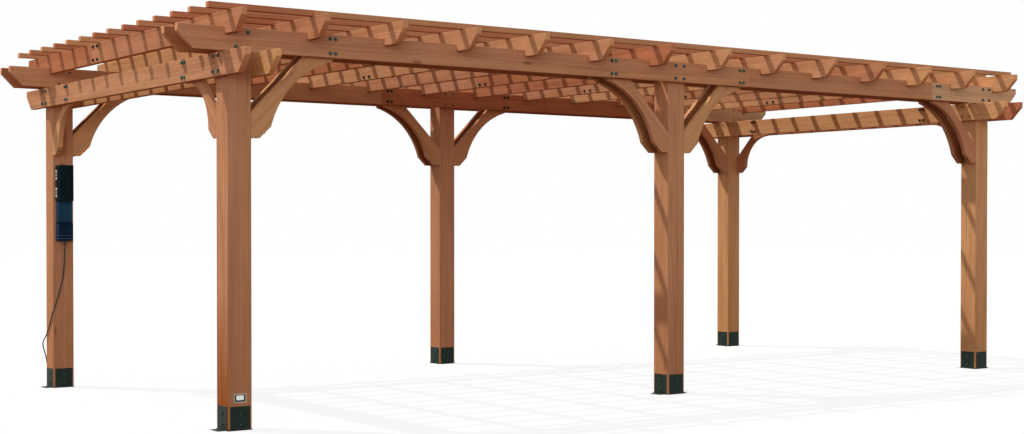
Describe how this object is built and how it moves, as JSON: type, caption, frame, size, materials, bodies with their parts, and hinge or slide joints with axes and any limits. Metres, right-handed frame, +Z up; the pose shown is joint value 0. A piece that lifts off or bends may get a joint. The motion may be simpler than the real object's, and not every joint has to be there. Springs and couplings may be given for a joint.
{
  "type": "timber pergola",
  "caption": "Free-standing cedar pergola on square posts with paired beams, curved knee braces and an open slatted roof, with a power unit and its cord on one post.",
  "frame": {"origin": "on the ground at the middle of the post layout", "axes": "+X along the length, towards the end away from the power unit; +Y across, towards the row of posts that carries the power unit; +Z up"},
  "size_m": [6.99, 3.47, 2.288],
  "materials": {
    "cedar_posts": "stained, planed cedar",
    "cedar_beams": "stained, planed cedar",
    "cedar_braces": "stained, planed cedar",
    "cedar_rafters": "stained, planed cedar",
    "cedar_battens": "stained, planed cedar",
    "anchor_steel": "matt powder coat",
    "plaque_metal": "brushed, bare",
    "unit_housing": "fine-grained moulding",
    "outlet_plastic": "smooth",
    "cord_jacket": "matt cord jacket"
  },
  "bodies": {
    "root": {"anchor_back_left": "anchor_steel", "anchor_back_middle": "anchor_steel", "anchor_back_right": "anchor_steel", "anchor_front_left": "anchor_steel", "anchor_front_middle": "anchor_steel", "anchor_front_right": "anchor_steel", "battens_back": "cedar_battens", "battens_front": "cedar_battens", "cord_coil": "cord_jacket", "cord_gland": "cord_jacket", "cord_plug": "cord_jacket", "end_beam_left_inner": "cedar_beams", "end_beam_left_outer": "cedar_beams", "end_beam_right_inner": "cedar_beams", "end_beam_right_outer": "cedar_beams", "end_brace_back_left": "cedar_braces", "end_brace_back_right": "cedar_braces", "end_brace_front_left": "cedar_braces", "end_brace_front_right": "cedar_braces", "junction_box": "unit_housing", "long_beam_back_inner": "cedar_beams", "long_beam_back_outer": "cedar_beams", "long_beam_front_inner": "cedar_beams", "long_beam_front_outer": "cedar_beams", "long_brace_back_left": "cedar_braces", "long_brace_back_middle": "cedar_braces", "long_brace_back_right": "cedar_braces", "long_brace_front_left": "cedar_braces", "long_brace_front_middle": "cedar_braces", "long_brace_front_right": "cedar_braces", "outlet_faces": "outlet_plastic", "outlet_housing": "unit_housing", "plaque": "plaque_metal", "post_back_left": "cedar_posts", "post_back_middle": "cedar_posts", "post_back_right": "cedar_posts", "post_front_left": "cedar_posts", "post_front_middle": "cedar_posts", "post_front_right": "cedar_posts", "power_cord": "cord_jacket", "rafter_01": "cedar_rafters", "rafter_02": "cedar_rafters", "rafter_03": "cedar_rafters", "rafter_04": "cedar_rafters", "rafter_05": "cedar_rafters", "rafter_06": "cedar_rafters", "rafter_07": "cedar_rafters", "rafter_08": "cedar_rafters", "rafter_09": "cedar_rafters", "rafter_10": "cedar_rafters", "rafter_11": "cedar_rafters", "rafter_12": "cedar_rafters", "rafter_13": "cedar_rafters", "rafter_14": "cedar_rafters"}
  },
  "joints": []
}
